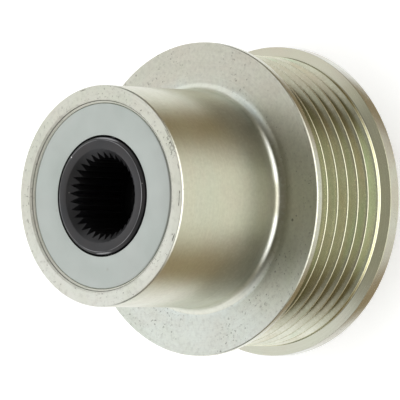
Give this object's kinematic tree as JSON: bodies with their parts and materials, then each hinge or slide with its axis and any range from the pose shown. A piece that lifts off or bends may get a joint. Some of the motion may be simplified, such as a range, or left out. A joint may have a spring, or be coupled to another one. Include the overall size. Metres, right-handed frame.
{
  "type": "alternator pulley",
  "caption": "Overrunning alternator pulley with a long neck: grooved belt track between two flanges, and an inner sleeve with a serrated socket on bearings and a one-way clutch.",
  "frame": {"origin": "centre of the rear face, the face towards the alternator, which the part stands on", "axes": "+Z along the turning axis, up through the neck"},
  "size_m": [0.0722, 0.0722, 0.062],
  "materials": {
    "zinc_steel": "yellow passivated zinc on turned steel",
    "plate_steel": "smooth satin pressed plate",
    "black_steel": "black oxide",
    "seal_rubber": "black rubber",
    "bearing_steel": "ground and hardened",
    "polyamide": "moulded, dark",
    "spring_steel": "rolled strip"
  },
  "bodies": {
    "pulley": {"pulley_body": "zinc_steel", "front_cover_plate": "plate_steel", "front_seal": "seal_rubber", "front_bearing_outer_race": "bearing_steel", "clutch_outer_race": "bearing_steel", "rear_bearing_outer_race": "bearing_steel", "rear_seal": "seal_rubber", "rear_cover_plate": "plate_steel"},
    "hub": {"hub_sleeve": "black_steel", "front_bearing_inner_race": "bearing_steel", "front_side_washer": "bearing_steel", "clutch_cam_ring": "bearing_steel", "clutch_cage": "polyamide", "clutch_rollers": "bearing_steel", "clutch_springs": "spring_steel", "rear_side_washer": "bearing_steel", "rear_bearing_inner_race": "bearing_steel", "rear_collar": "black_steel"},
    "front_ball_set": {"front_bearing_balls": "bearing_steel", "front_bearing_cage": "polyamide"},
    "rear_ball_set": {"rear_bearing_balls": "bearing_steel", "rear_bearing_cage": "polyamide"}
  },
  "joints": [
    {"name": "hub_spin", "type": "hinge", "parent": "pulley", "child": "hub", "pos_m": [0, 0, 0.031], "axis": [0, 0, 1], "continuous": true},
    {"name": "front_ball_set_spin", "type": "hinge", "parent": "pulley", "child": "front_ball_set", "pos_m": [0, 0, 0.053], "axis": [0, 0, 1], "continuous": true},
    {"name": "rear_ball_set_spin", "type": "hinge", "parent": "pulley", "child": "rear_ball_set", "pos_m": [0, 0, 0.009], "axis": [0, 0, 1], "continuous": true}
  ],
  "couplings": [
    {"joint": "front_ball_set_spin", "follows": "hub_spin", "ratio": 0.42895},
    {"joint": "rear_ball_set_spin", "follows": "hub_spin", "ratio": 0.42895}
  ]
}
